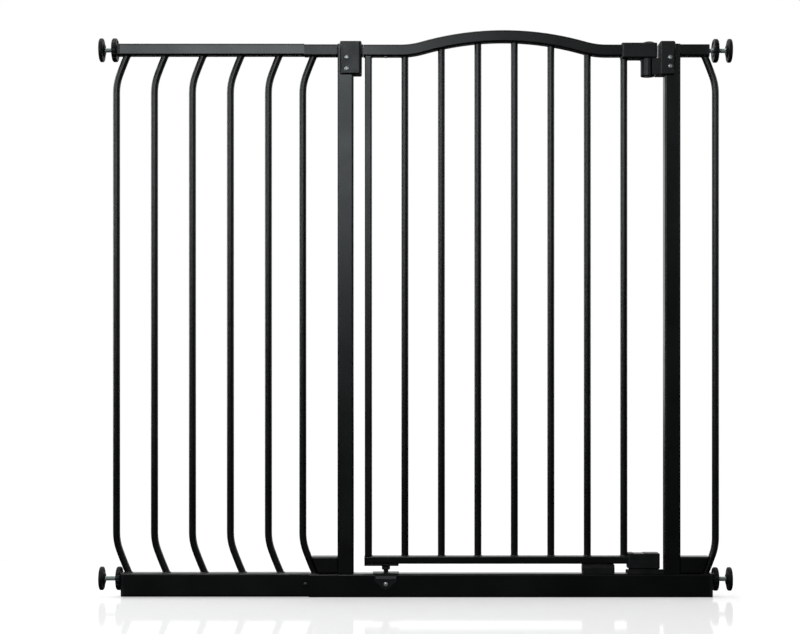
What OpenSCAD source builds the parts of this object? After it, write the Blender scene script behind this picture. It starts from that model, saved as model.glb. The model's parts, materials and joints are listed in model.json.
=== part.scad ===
// Pressure-fit safety gate: a welded steel frame with a bar extension on its left, an arched door
// that swings on a vertical pin and lifts on it, a sliding latch, and four screw spindles with
// wall pads that clamp it between two walls.
// Millimetres. X runs along the gate, +Y is behind it and +Z is up. The origin is on the floor,
// midway between the walls and in the middle of the rails' depth.

/* [Opening] */
// Distance between the two walls, from pad face to pad face
opening_w = 1074; // [1062:1:1140]
// How far the frame stands left of the middle of the opening
frame_shift = 1.5; // [-4:0.5:6]

/* [Frame] */
// Height of the top rails of the main frame
gate_h = 939; // [700:1:1200]
// Clear width between the two posts
doorway_w = 528; // [480:1:640]
// Width of each post along the gate
post_w = 27; // [22:0.5:34]
// Depth of the posts and of the base rail
frame_d = 25; // [22:0.5:32]
// Wall of the posts and of the base rail
frame_wall = 1.5; // [1:0.1:2.5]
// Outer corner radius of the posts and of the base rail
frame_r = 3; // [2:0.5:5]
// Height of the base rail
base_h = 40; // [36:1:50]
// Side of the square top rails
rail_s = 20; // [18:0.5:24]
// Wall of the square top rails
rail_wall = 1.2; // [0.8:0.1:2]
// Outer corner radius of the square top rails
rail_r = 3; // [2:0.5:4]
// Length of the top stub from the left post to the extension
stub_l = 56.5; // [45:0.5:80]
// Length of the right wing, from the post to the outer face of its lower cap
wing_r = 54.5; // [48:0.5:80]
// How much shorter the right wing is at the top
wing_step_r = 5; // [0:0.5:8]
// Height of the foot gussets beside the posts
gusset_h = 29; // [20:1:45]
// Distance of each side bar's straight run from its post
side_bar_out = 59.5; // [52:0.5:75]
// How much further out the right side bar stands
side_bar_step = 1.5; // [0:0.5:4]
// Thickness of the plugs that close the posts
post_cap_t = 1.5; // [1:0.1:3]

/* [Extension] */
// Length of the extension, from its upper cap's outer face to the upper seam
ext_w = 318; // [240:1:360]
// How much shorter the extension is at the foot of its outer end
wing_step_l = 7; // [0:0.5:10]
// How far the lower seam lies inside the upper one
seam_step = 8; // [0:0.5:16]
// How much higher the extension sits than the main frame
ext_rise = 1; // [0:0.1:1.2]
// Number of bars in the extension
ext_bars = 5; // [3:1:6]
// How far the first bar's straight run stands outside the upper cap
ext_bar_out = 2.2; // [0:0.1:4]
// Distance of the last bar's straight run from the upper seam
ext_bar_in = 61.6; // [50:0.1:70]
// Length of the inner tubes that join the extension to the frame
joiner_l = 100; // [60:5:120]
// Side play of the joiners in the rails
joiner_play = 0.2; // [0.1:0.05:0.4]

/* [Bars] */
// Diameter of every round bar
bar_d = 12; // [8:0.5:12]
// Wall of every round bar
bar_wall = 1; // [0.8:0.1:1.6]
// Angle from the vertical that the bars bend to
bend_a = 20; // [10:0.5:25]
// Radius of the bends, on the bar's centre line
bend_r = 88; // [40:1:110]
// Radius of the almost straight bar ends past the bends
bar_end_r = 600; // [400:50:900]
// Height of the upper bend's start below the top rail
bend_drop = 62.5; // [50:0.5:80]
// Height of the lower bend's start above the bottom rail
bend_lift = 68.5; // [50:0.5:80]
// How much lower the right side bar's lower bend starts
bend_lift_step = 8; // [0:0.5:10]

/* [Door] */
// Gap between the left post and the door
hinge_gap = 19.2; // [18:0.1:26]
// Gap between the door's handle and the right post
latch_gap = 12.5; // [12:0.1:15]
// Width of the door's stile
stile_w = 12; // [10:0.5:16]
// Depth of the door's stile and bottom rail
door_d = 20; // [16:0.5:22]
// Wall of the door's stile and bottom rail
door_wall = 1.2; // [0.8:0.1:1.8]
// Outer corner radius of the door's stile and bottom rail
door_r = 2.5; // [1.5:0.5:3]
// Height of the door's bottom rail
door_rail_h = 13; // [12:0.5:16]
// Height of the door's bottom rail above the base rail
door_clear = 16.5; // [16:0.1:22]
// How much lower the door's top rail sits than the frame's
door_drop = 0.5; // [0:0.1:1]
// Number of bars in the door
door_bars = 7; // [5:1:8]
// How far the door's last bar stands inside the handle's end
last_bar_in = 5.5; // [0:0.5:8]
// Radius of the arch's crown, on the rail's centre line
crown_r = 500; // [400:5:700]
// Radius of the arch's feet, on the rail's centre line
foot_r = 140; // [90:5:160]
// Steepest slope of the arch, where its crown meets its feet
arch_a = 15.9; // [8:0.1:17]

/* [Hinge] */
// Distance of the hinge axis from the outer face of the door's stile
hinge_in = 35.8; // [30:0.1:42]
// Diameter of the hinge pins
pin_d = 8; // [6:0.5:9]
// Radial clearance of the pins in the parts that turn or slide on them
pin_play = 0.08; // [0.05:0.01:0.1]
// How far the door lifts on its pins
lift = 10; // [6:0.5:10]
// Thickness of the upper hinge arm
arm_t = 4.5; // [4:0.1:5]
// Width of the upper hinge arm
arm_w = 15; // [13:0.5:16]
// Height of the hinge bracket
bracket_h = 56; // [50:1:70]
// How far the hinge bracket and the keep rise above the top rails
bracket_up = 4; // [2:0.5:6]
// Thickness of the bracket's and the keep's plates in front of the posts
plate_t = 5; // [4:0.5:7]
// Diameter of the bush under the door
bush_d = 14; // [12:0.5:18]
// Height of the bush under the door
bush_h = 7; // [5:0.5:8]
// Thickness of the plate that carries the bush
hinge_plate_t = 3.5; // [3:0.5:5]
// Length of that plate
hinge_plate_l = 58; // [50:1:70]
// Diameter of the bearing socket in the base rail
socket_d = 14; // [12:0.5:18]
// Depth of the bearing socket
socket_h = 13; // [10:0.5:18]
// Thickness of the socket's floor
socket_floor_t = 1.8; // [1:0.1:3]
// Width of the saddle on the base rail
saddle_w = 44; // [38:1:56]
// Thickness of the saddle's sheet
saddle_t = 1.2; // [0.8:0.1:2]

/* [Latch] */
// Length of the handle housing
handle_l = 61; // [54:1:70]
// Depth of the handle housing
handle_d = 28; // [25:1:32]
// Thickness of the housing above the door's rail
handle_skin = 2.5; // [2:0.1:3]
// Thickness of the housing below the door's rail
handle_under = 4; // [2:0.1:5]
// Diameter of the leg under the handle
leg_d = 24; // [20:0.5:25]
// Length of the leg under the handle housing
leg_l = 29.5; // [26:0.5:40]
// Diameter of the steel pin in the leg
leg_pin_d = 11; // [8:0.5:12]
// Wall of the leg behind the latch tongue
leg_wall = 5.6; // [4.5:0.1:6.5]
// Height of the latch tongue above the foot of the leg
tongue_up = 17; // [15:0.5:20]
// Width of the latch tongue
tongue_w = 8; // [6:0.5:8]
// Height of the latch tongue
tongue_h = 8; // [6:0.5:10]
// How far the latch slides
latch_travel = 5.5; // [4:0.1:5.7]
// Clearance round the sliding latch
slide_play = 0.3; // [0.2:0.05:0.4]
// Gap between the handle and the keep
keep_gap = 3; // [2:0.1:5]
// Height of the keep
keep_h = 57; // [50:1:70]
// Gap between the leg and the keep's arm
arm_gap = 0.8; // [0.5:0.1:1.5]
// Distance of the thumb button's middle from the handle's end
button_in = 13; // [12:0.5:16]
// Diameter of the thumb button
button_d = 19; // [16:0.5:20]
// Height of the thumb button
button_h = 3.6; // [2:0.1:4]

/* [Bottom latch] */
// Length of the housing on the door's bottom rail
foot_l = 54.5; // [45:0.5:70]
// Depth of the housing on the door's bottom rail
foot_d = 24; // [23:0.5:28]
// Height of that housing above the door's bottom rail
foot_skin = 5.5; // [4:0.5:7]
// How much deeper it is below that rail
foot_drop = 3; // [0:0.5:4]
// How far it reaches past the end of the handle
foot_past = 4.5; // [0:0.5:8]
// Distance of the drop pin from its hinge side
drop_pin_in = 28; // [22:0.5:32]
// Diameter of the drop pin
drop_pin_d = 8; // [6:0.5:10]
// How far the drop pin stands out of its housing
drop_pin_out = 2; // [1:0.1:4]
// Length of the catch on the base rail
catch_l = 63; // [50:1:80]
// Thickness of the catch's floor
catch_t = 2; // [1.5:0.1:3]
// Height of the catch's front lip above its floor
front_lip_h = 5.7; // [3:0.1:5.7]
// Height of the catch's rear ramp above its floor
rear_lip_h = 3.5; // [2:0.1:3.6]
// Length of the rest under the door's bottom rail
rest_l = 54; // [30:1:80]
// Distance from the handle's left end to the middle of the rest
rest_in = 38.5; // [35:0.5:120]
// Gap between the rest and the door's bottom rail
rest_gap = 0.6; // [0.4:0.1:2]

/* [Spindles] */
// Diameter of the threaded rods
rod_d = 8; // [6:0.5:10]
// Length of the threaded rods
rod_l = 75; // [60:1:75]
// Radial clearance of the rods in the caps and nuts
rod_play = 0.08; // [0.05:0.01:0.1]
// Height of the lower spindles above the underside of their rail
spindle_low = 30; // [26:0.5:32]
// Diameter of the wall pads
pad_d = 40; // [30:1:50]
// Thickness of the wall pads
pad_t = 9; // [7:0.5:14]
// Depth of the rod's socket in a pad
pad_socket = 5; // [4:0.5:6]
// Diameter of the hand nuts
nut_d = 40; // [30:1:50]
// Thickness of the hand nuts
nut_t = 8; // [7:0.5:11]
// Number of finger grooves round a hand nut
nut_grooves = 16; // [8:1:24]
// Gap between cap and hand nut at the upper left
nut_gap_upper_left = 0.3; // [0.3:0.1:2]
// Gap between cap and hand nut at the lower left
nut_gap_lower_left = 0.3; // [0.3:0.1:8]
// Gap between cap and hand nut at the upper right
nut_gap_upper_right = 7.3; // [0.3:0.1:8]
// Gap between cap and hand nut at the lower right
nut_gap_lower_right = 2; // [0.3:0.1:4]
// Thickness of the end caps outside the rails
cap_t = 5; // [3:0.5:7]
// Length of the end caps' plugs inside the rails
cap_plug = 8; // [5:0.5:12]

/* [Screws] */
// Diameter of the bright screw heads
head_d = 7; // [6:0.5:9]
// Height of the screw heads
head_h = 2.2; // [1.5:0.1:2.4]
// Diameter of the screws' shanks
shank_d = 4; // [3:0.5:5]
// Distance between the two screws of the bracket
bracket_pitch = 19; // [12:0.5:25]
// Distance between the two screws of the keep
keep_pitch = 15; // [12:0.5:25]
// Depth of the upper screw below the bracket's and the keep's top
screw_down = 28; // [26:0.5:32]

/* [Hidden] */
$fn = 48;

// Each corner's name, its side and whether it is an upper one
CORNERS = [
    ["upper_left", -1, true],
    ["lower_left", -1, false],
    ["upper_right", 1, true],
    ["lower_right", 1, false]
];

// Colours
black_steel = [0.13, 0.13, 0.14];
grey_steel = [0.20, 0.20, 0.21];
black_plastic = [0.07, 0.07, 0.08];
black_rubber = [0.05, 0.05, 0.05];
zinc = [0.66, 0.68, 0.68];
nylon = [0.10, 0.10, 0.11];

// Tolerance that carries a cut past the face it opens
eps = 0.5;

// Places along the gate
frame_w = ext_w + stub_l + 2 * post_w + doorway_w + wing_r;
frame_l = -frame_shift - frame_w / 2;
frame_r_end = frame_l + frame_w;
top_seam = frame_l + ext_w;
low_seam = top_seam + seam_step;
left_post_x = top_seam + stub_l;
doorway_l = left_post_x + post_w;
doorway_r = doorway_l + doorway_w;
right_post_out = doorway_r + post_w;
left_side_bar_x = left_post_x - side_bar_out;
right_side_bar_x = right_post_out + side_bar_out + side_bar_step;
right_bend_lift = bend_lift - bend_lift_step;
door_l = doorway_l + hinge_gap;
door_r_end = doorway_r - latch_gap;
stile_x = door_l + stile_w / 2;
hinge_x = door_l + hinge_in;
handle_x = door_r_end - handle_l;

// Heights
rail_z = gate_h - rail_s / 2;
ext_rail_z = rail_z + ext_rise;
door_rail_z = rail_z - door_drop;
post_top = gate_h - post_cap_t;
door_foot = base_h + door_clear;
door_foot_top = door_foot + door_rail_h;
handle_foot = door_rail_z - rail_s / 2 - handle_under;
handle_top = door_rail_z + rail_s / 2 + handle_skin;
leg_foot = handle_foot - leg_l;
bracket_top = gate_h + bracket_up;
housing_foot = door_foot - foot_skin - foot_drop;
housing_top = door_foot_top + foot_skin;

// Latch places
leg_x = door_r_end - keep_gap - leg_d / 2;
tongue_z = leg_foot + tongue_up;
tongue_back = leg_x - leg_d / 2 + leg_wall;
tongue_set = 0.4;
tongue_tip = leg_x + leg_d / 2 - tongue_set;
stem_w = 6;
leg_web_t = 3;
leg_pin_l = tongue_z - leg_foot - leg_web_t;
screw_blind = 3;
handle_screw_l = handle_d - screw_blind;
keep_x = door_r_end + keep_gap;
keep_arm_x = leg_x + leg_d / 2 + arm_gap;
keep_arm_clear = 0.5;
keep_arm_top = handle_foot - keep_arm_clear;
keep_back = frame_d / 2 + slide_play;
keep_over = 18;
bracket_over = 23;
bracket_side = 14;
bracket_screw_in = 11;
keep_screw_in = 8.5;
saddle_screw_down = 17.5;

// Bottom latch places
catch_past = 1;
rail_past_pin = 14;
housing_x = door_r_end + foot_past - foot_l;
drop_pin_x = housing_x + drop_pin_in;
catch_x = housing_x - catch_past;
rest_x = handle_x - rest_in;

// Ends of the door's rails
foot_rail_past = 0.7;
top_rail_past = 2.2;
top_rail_short = 24;
foot_rail_start = door_l - foot_rail_past;
foot_rail_stop = drop_pin_x + rail_past_pin;
top_rail_start = door_l - top_rail_past;
top_rail_stop = leg_x - top_rail_short;

// Arch of the door's top rail
arch_x = (hinge_x + handle_x) / 2;
arch_reach = crown_r + foot_r;
arch_rise = arch_reach * (1 - cos(arch_a));
arch_half = arch_reach * sin(arch_a);

function spindle_x(c) = c[1] * opening_w / 2;
function spindle_z(c) = (c[2] ? rail_z : spindle_low) + (c[1] < 0 ? ext_rise : 0);
function cap_face(c) = c[1] < 0
    ? frame_l + (c[2] ? 0 : wing_step_l)
    : frame_r_end - (c[2] ? wing_step_r : 0);
function nut_gap(c) = c[1] < 0
    ? (c[2] ? nut_gap_upper_left : nut_gap_lower_left)
    : (c[2] ? nut_gap_upper_right : nut_gap_lower_right);

// ---- Shared shapes ----

// Rectangle about the origin with its four corners rounded by true arcs
module rounded_rect(w, h, r) {
    square([w - 2 * r, h], center = true);
    square([w, h - 2 * r], center = true);
    for (sx = [-1, 1], sy = [-1, 1]) translate([sx * (w / 2 - r), sy * (h / 2 - r)]) circle(r);
}

module tube_section(w, h, r, wall) {
    difference() {
        rounded_rect(w, h, r);
        rounded_rect(w - 2 * wall, h - 2 * wall, r - wall / 2);
    }
}

// Sweeps a section along X: its own X becomes depth, its own Y becomes height
module along_x(length) {
    rotate([90, 0, 90]) linear_extrude(length) children();
}

// Sweeps an outline drawn in width and height back along Y, from y0 to y1
module through_y(y0, y1) {
    translate([0, y1, 0]) rotate([90, 0, 0]) linear_extrude(y1 - y0) children();
}

module box(lo, hi) {
    translate(lo) cube(hi - lo);
}

// Moulded block with rounded corners seen from above, from the front and from the side
module moulded(lo, hi, r_plan, r_front, r_side) {
    size = hi - lo;
    translate((lo + hi) / 2) intersection() {
        linear_extrude(size.z, center = true) rounded_rect(size.x, size.y, r_plan);
        rotate([90, 0, 0]) linear_extrude(size.y, center = true) rounded_rect(size.x, size.z, r_front);
        rotate([90, 0, 90]) linear_extrude(size.x, center = true) rounded_rect(size.y, size.z, r_side);
    }
}

module round_bar_section() {
    difference() {
        circle(bar_d / 2);
        circle(bar_d / 2 - bar_wall);
    }
}

// Pan head on a plain shank, its seat at z = 0 and its head above
module pan_screw(length) {
    recess_w = head_d * 0.14;
    recess_l = head_d * 0.55;
    recess_t = head_h * 0.6;
    difference() {
        union() {
            rotate_extrude() intersection() {
                translate([0, -head_d * 0.9]) circle(head_d * 0.9 + head_h);
                square([head_d / 2, head_h]);
            }
            translate([0, 0, -length]) cylinder(d = shank_d, h = length);
        }
        for (turn = [0, 90]) rotate(turn)
            translate([-recess_l / 2, -recess_w / 2, head_h - recess_t]) cube([recess_l, recess_w, head_h]);
    }
}

module screw_hole(length) {
    translate([0, 0, -length]) cylinder(d = shank_d, h = length + head_h);
}

// Turns a screw that points up so that it points forward, back or down
module face_front() {
    rotate([90, 0, 0]) children();
}

module face_back() {
    rotate([-90, 0, 0]) children();
}

module face_down() {
    rotate([180, 0, 0]) children();
}

// Shift in two steps: the second makes good what six digits leave out of the first, so that the
// arcs and straights of a bent tube meet flush
module shift(v) {
    coarse = [for (c = v) round(c * 1000) / 1000];
    translate(coarse) translate(v - coarse) children();
}

// Part of a ring that stands in the plane of the gate, about its centre
module arc(r, from, angle) {
    rotate([90, 0, 0]) rotate_extrude(start = from, angle = angle, $fn = 240) translate([r, 0]) children();
}

// ---- Bent bars ----

// Half of a bar from its middle: straight for straight_l, then bent towards -X in an arc that goes on
// in a far wider one, up to at least end_h above the straight
module bent_half(straight_l, end_h) {
    end_rise = end_h + bar_d - bend_r * sin(bend_a);
    end_a = ceil(asin(sin(bend_a) + end_rise / bar_end_r)) - bend_a;
    linear_extrude(straight_l) round_bar_section();
    translate([-bend_r, 0, straight_l]) {
        arc(bend_r, 0, bend_a) round_bar_section();
        shift((bend_r - bar_end_r) * [cos(bend_a), 0, sin(bend_a)])
            arc(bar_end_r, bend_a, end_a) round_bar_section();
    }
}

// Bar between two rails, foot_z and top_z their facing sides, its ends bent towards side * X
module bent_bar(x, foot_z, top_z, side, foot_bend) {
    half = (top_z - foot_z) / 2;
    translate([x, 0, foot_z + half]) rotate([0, 0, side < 0 ? 0 : 180]) intersection() {
        union() {
            bent_half(half - bend_drop, bend_drop);
            rotate([180, 0, 0]) bent_half(half - foot_bend, foot_bend);
        }
        cube([2 * bar_end_r, 2 * bar_d, 2 * half], center = true);
    }
}

// ---- Frame ----

module base_rail() {
    length = frame_r_end - cap_t - low_seam;
    color(black_steel) difference() {
        translate([low_seam, 0, base_h / 2]) along_x(length)
            tube_section(frame_d, base_h, frame_r, frame_wall);
        translate([hinge_x, 0, base_h - socket_h]) cylinder(d = socket_d, h = socket_h + eps);
        saddle_screw_place() screw_hole(saddle_t + frame_wall + eps);
        catch_screw_places() screw_hole(catch_t + frame_wall + eps);
        bottom_joiner_screw_places() screw_hole(frame_wall + eps);
    }
}

module post(x) {
    translate([x + post_w / 2, 0, base_h]) linear_extrude(post_top - base_h)
        tube_section(post_w, frame_d, frame_r, frame_wall);
}

module left_post() {
    color(black_steel) difference() {
        post(left_post_x);
        bracket_screw_places() screw_hole(plate_t + frame_wall + eps);
    }
}

module right_post() {
    color(black_steel) difference() {
        post(doorway_r);
        keep_screw_places() screw_hole(plate_t + frame_wall + eps);
    }
}

module post_caps() {
    plug_l = 10;
    plug_wall = 2;
    plug_w = post_w - 2 * frame_wall;
    plug_d = frame_d - 2 * frame_wall;
    color(black_plastic) for (x = [left_post_x, doorway_r]) translate([x + post_w / 2, 0, post_top]) {
        linear_extrude(post_cap_t) rounded_rect(post_w, frame_d, frame_r);
        translate([0, 0, -plug_l]) linear_extrude(plug_l)
            tube_section(plug_w, plug_d, frame_r - frame_wall / 2, plug_wall);
    }
}

// Sideways lean of a bent bar's end, d past the start of the bend
function bar_lean(d) =
    let (wider = bar_end_r - bend_r)
    bend_r + wider * cos(bend_a) - sqrt(pow(bar_end_r, 2) - pow(d + wider * sin(bend_a), 2));

// Outline of a gusset beside a post whose outer face is at x = 0, cut back inset on all sides:
// its free end follows the foot of a side bar that stands out from the post and bends from foot_bend down
module gusset_outline(inset, out, foot_bend) {
    clear = 0.5;
    foot_x = bar_lean(foot_bend) - out;
    head_x = bar_lean(foot_bend - gusset_h) - out;
    slant = atan((foot_x - head_x) / gusset_h);
    function edge(z) = foot_x + (head_x - foot_x) * z / gusset_h + (bar_d / 2 + clear + inset) / cos(slant);
    post_x = inset > 0 ? eps : 0;
    polygon([[post_x, inset], [edge(inset), inset], [edge(gusset_h - inset), gusset_h - inset],
        [post_x, gusset_h - inset]]);
}

module gusset(out, foot_bend) {
    difference() {
        intersection() {
            translate([0, 0, base_h]) through_y(-frame_d / 2, frame_d / 2) gusset_outline(0, out, foot_bend);
            translate([-2 * out, 0, base_h + gusset_h / 2]) along_x(4 * out)
                rounded_rect(frame_d, gusset_h, frame_r);
        }
        translate([0, 0, base_h]) through_y(frame_wall - frame_d / 2, frame_d / 2 - frame_wall)
            gusset_outline(frame_wall, out, foot_bend);
    }
}

module left_foot_gusset() {
    color(black_steel) translate([left_post_x, 0, 0]) gusset(side_bar_out, bend_lift);
}

module right_foot_gusset() {
    color(black_steel) translate([right_post_out, 0, 0]) mirror([1, 0, 0])
        gusset(side_bar_out + side_bar_step, right_bend_lift);
}

module left_top_stub() {
    color(grey_steel) difference() {
        translate([top_seam, 0, rail_z]) along_x(stub_l) tube_section(rail_s, rail_s, rail_r, rail_wall);
        top_joiner_screw_places() screw_hole(rail_wall + eps);
    }
}

module right_top_stub() {
    color(black_steel) translate([right_post_out, 0, rail_z]) along_x(wing_r - wing_step_r - cap_t)
        tube_section(rail_s, rail_s, rail_r, rail_wall);
}

module left_side_bar() {
    color(black_steel) bent_bar(left_side_bar_x, base_h, gate_h - rail_s, 1, bend_lift);
}

module right_side_bar() {
    color(black_steel) bent_bar(right_side_bar_x, base_h, gate_h - rail_s, -1, right_bend_lift);
}

// ---- Extension ----

module extension_top_rail() {
    color(grey_steel) difference() {
        translate([frame_l + cap_t, 0, ext_rail_z]) along_x(ext_w - cap_t)
            tube_section(rail_s, rail_s, rail_r, rail_wall);
        top_joiner_screw_places() screw_hole(rail_wall + eps);
    }
}

module extension_bottom_rail() {
    start = frame_l + wing_step_l + cap_t;
    color(black_steel) difference() {
        translate([start, 0, ext_rise + base_h / 2]) along_x(low_seam - start)
            tube_section(frame_d, base_h, frame_r, frame_wall);
        bottom_joiner_screw_places() screw_hole(frame_wall + eps);
    }
}

module extension_bars() {
    first = frame_l - ext_bar_out;
    pitch = (top_seam - ext_bar_in - first) / (ext_bars - 1);
    color(black_steel) for (i = [0:ext_bars - 1])
        bent_bar(first + i * pitch, base_h + ext_rise, gate_h - rail_s + ext_rise, 1, bend_lift);
}

// Inner tube that seats on the extension's floor and under the main rail's roof
module joiner(seam, foot_z, outer_w, outer_h, wall, r) {
    inner_h = outer_h - 2 * wall - ext_rise;
    inner_w = outer_w - 2 * wall - 2 * joiner_play;
    translate([seam - joiner_l / 2, 0, foot_z + ext_rise + wall + inner_h / 2])
        along_x(joiner_l) tube_section(inner_w, inner_h, r, wall);
}

module top_joiner() {
    color(zinc) difference() {
        joiner(top_seam, gate_h - rail_s, rail_s, rail_s, rail_wall, rail_r - rail_wall / 2);
        top_joiner_screw_places() screw_hole(2 * rail_wall + joiner_play);
    }
}

module bottom_joiner() {
    color(zinc) difference() {
        joiner(low_seam, 0, frame_d, base_h, frame_wall, frame_r - frame_wall / 2);
        bottom_joiner_screw_places() screw_hole(2 * frame_wall + joiner_play);
    }
}

module joiner_screw_pair(seam, back, z) {
    from_seam = joiner_l * 0.3;
    for (side = [-1, 1]) translate([seam + side * from_seam, back, z]) face_back() children();
}

module top_joiner_screw_places() {
    joiner_screw_pair(top_seam, rail_s / 2, rail_z) children();
}

// Two behind the rail, and one in front just beside the seam
module bottom_joiner_screw_places() {
    joiner_screw_pair(low_seam, frame_d / 2, base_h / 2) children();
    translate([low_seam - head_d * 0.8, -frame_d / 2, base_h * 0.55]) face_front() children();
}

module joiner_screws() {
    color(black_steel) {
        top_joiner_screw_places() pan_screw(2 * rail_wall + joiner_play);
        bottom_joiner_screw_places() pan_screw(2 * frame_wall + joiner_play);
    }
}

// Plug with a square flange for the end of a tube, its outer face at z = 0 and the rod off its middle
module end_cap(w, h, r, wall, rod_off) {
    difference() {
        union() {
            translate([0, 0, -cap_t]) linear_extrude(cap_t) rounded_rect(w, h, r);
            translate([0, 0, -cap_t - cap_plug]) linear_extrude(cap_plug)
                rounded_rect(w - 2 * wall, h - 2 * wall, r - wall / 2);
        }
        translate([0, rod_off, -cap_t - cap_plug - eps])
            cylinder(d = rod_d + 2 * rod_play, h = cap_t + cap_plug + 2 * eps);
    }
}

// Puts a child drawn with depth on X, height on Y and outwards on Z at the corner c
module at_cap(c, z) {
    translate([cap_face(c), 0, z]) mirror([c[1] < 0 ? 1 : 0, 0, 0]) rotate([90, 0, 90]) children();
}

module top_end_caps() {
    color(black_plastic) for (c = CORNERS) if (c[2])
        at_cap(c, spindle_z(c)) end_cap(rail_s, rail_s, rail_r, rail_wall, 0);
}

module bottom_end_caps() {
    color(black_plastic) for (c = CORNERS) if (!c[2])
        at_cap(c, spindle_z(c) - spindle_low + base_h / 2)
            end_cap(frame_d, base_h, frame_r, frame_wall, spindle_low - base_h / 2);
}

// ---- Hinge ----

// Two screws, one above the other, through a plate in front of a post
module plate_screw_pair(x, pitch) {
    top = bracket_top - screw_down;
    for (z = [top, top - pitch]) translate([x, -frame_d / 2 - plate_t, z]) face_front() children();
}

module bracket_screw_places() {
    plate_screw_pair(doorway_l - bracket_screw_in, bracket_pitch) children();
}

// Strap from inside the bracket to an eye round the door's upper pin
module arm_shape(play) {
    clear = 0.4;
    sunk = 1.5;
    arm_z = door_rail_z + rail_s / 2 - rail_wall - clear - arm_t;
    root = doorway_l + sunk;
    translate([0, 0, arm_z - play]) linear_extrude(arm_t + 2 * play) {
        translate([root - play, -arm_w / 2 - play]) square([hinge_x - root + play, arm_w + 2 * play]);
        translate([hinge_x, 0]) circle(arm_w / 2 + play);
    }
}

module hinge_arm() {
    color(zinc) difference() {
        arm_shape(0);
        translate([hinge_x, 0, door_rail_z - rail_s]) cylinder(d = pin_d + 2 * pin_play, h = 2 * rail_s);
    }
}

// Block round the left post, with a hollowed nose that the end of the door's rail turns in
module hinge_bracket() {
    left = doorway_l - bracket_over;
    right = doorway_l + bracket_side;
    front = -frame_d / 2 - plate_t;
    foot = bracket_top - bracket_h;
    clear = 0.4;
    nose_r = sqrt(pow(hinge_x - top_rail_start, 2) + pow(rail_s / 2, 2)) + clear;
    nose = hinge_x - sqrt(pow(nose_r, 2) - pow(rail_s / 2, 2));
    nose_start = right - frame_r;
    pocket = [7, 11, 15];
    pocket_in = 3.5;
    pocket_up = 5;
    rib_t = 3;
    color(black_plastic) difference() {
        union() {
            moulded([left, front, foot], [right, keep_back, bracket_top], 5, 3, 2);
            translate([nose_start, 0, rail_z]) along_x(nose - nose_start)
                rounded_rect(rail_s, rail_s, rail_r);
        }
        box([left_post_x, -frame_d / 2, foot - eps], [doorway_l, frame_d, bracket_top + eps]);
        translate([hinge_x, 0, rail_z - rail_s]) cylinder(r = nose_r, h = 2 * rail_s, $fn = 96);
        arm_shape(0);
        for (z = [foot + pocket_up, foot + pocket_up + pocket.z + rib_t])
            translate([doorway_l + pocket_in, keep_back - pocket.y, z])
                cube([pocket.x, pocket.y + eps, pocket.z]);
        bracket_screw_places() screw_hole(plate_t + frame_wall);
    }
}

module hinge_bracket_screws() {
    color(zinc) bracket_screw_places() pan_screw(plate_t + frame_wall);
}

module upper_hinge_pin() {
    proud = 1;
    color(zinc) translate([hinge_x, 0, door_rail_z - rail_s / 2 - proud])
        cylinder(d = pin_d, h = rail_s + proud);
}

// Reaches from the socket's floor to just above the door's rail when the door is lifted
module lower_hinge_pin() {
    over_floor = 0.2;
    foot = base_h - socket_h + socket_floor_t + over_floor;
    spare = 1;
    top = door_foot + door_wall + lift - spare;
    color(zinc) translate([hinge_x, 0, foot]) cylinder(d = pin_d, h = top - foot);
}

module hinge_socket() {
    color(nylon) difference() {
        translate([hinge_x, 0, base_h - socket_h]) cylinder(d = socket_d, h = socket_h);
        translate([hinge_x, 0, base_h - socket_h + socket_floor_t])
            cylinder(d = pin_d + 2 * pin_play, h = socket_h);
    }
}

module hinge_bush() {
    chamfer = 1.2;
    bore_r = pin_d / 2 + pin_play;
    r = bush_d / 2;
    color(nylon) translate([hinge_x, 0, door_foot - hinge_plate_t - bush_h]) rotate_extrude()
        polygon([[bore_r, 0], [r - chamfer, 0], [r, chamfer], [r, bush_h], [bore_r, bush_h]]);
}

module hinge_plate() {
    foot = door_foot - hinge_plate_t;
    color(black_steel) difference() {
        moulded([foot_rail_start, -door_d / 2, foot],
            [foot_rail_start + hinge_plate_l, door_d / 2, door_foot], 2, 0.6, 0.6);
        translate([hinge_x, 0, foot - eps]) cylinder(d = pin_d + 2 * pin_play, h = hinge_plate_t + 2 * eps);
    }
}

module saddle_screw_place() {
    translate([hinge_x, -frame_d / 2 - saddle_t, base_h - saddle_screw_down]) face_front() children();
}

// Sheet clip over the base rail, with a shield-shaped flap on each side and a ledge in front
module hinge_saddle() {
    flap = saddle_w * 0.43;
    flap_foot = 12;
    pad_r = 9;
    neck = pad_r * 0.8;
    neck_foot = saddle_screw_down + pad_r / 2;
    ledge = saddle_w * 0.39;
    ledge_out = 2;
    ledge_top = 3.5;
    ledge_lip = 8.5;
    ledge_foot = 10;
    front = -frame_d / 2 - saddle_t;
    color(black_plastic) difference() {
        union() {
            translate([hinge_x, 0, base_h + saddle_t / 2])
                cube([saddle_w, frame_d + 2 * saddle_t, saddle_t], center = true);
            for (side = [-1, 1]) translate([hinge_x, side * (frame_d + saddle_t) / 2, base_h])
                through_y(-saddle_t / 2, saddle_t / 2) {
                    polygon([[-flap, 0], [-flap, -flap_foot], [-neck, -neck_foot], [neck, -neck_foot],
                        [flap, -flap_foot], [flap, 0]]);
                    translate([0, -saddle_screw_down]) circle(pad_r);
                }
            translate([hinge_x - ledge, 0, base_h]) along_x(2 * ledge)
                polygon([[front, -ledge_top], [front - ledge_out, -ledge_lip], [front, -ledge_foot]]);
        }
        translate([hinge_x, 0, base_h - eps]) cylinder(d = pin_d + 1, h = saddle_t + 2 * eps);
        saddle_screw_place() screw_hole(saddle_t + eps);
    }
}

module saddle_screw() {
    color(zinc) saddle_screw_place() pan_screw(saddle_t + frame_wall);
}

// ---- Door ----

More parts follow.
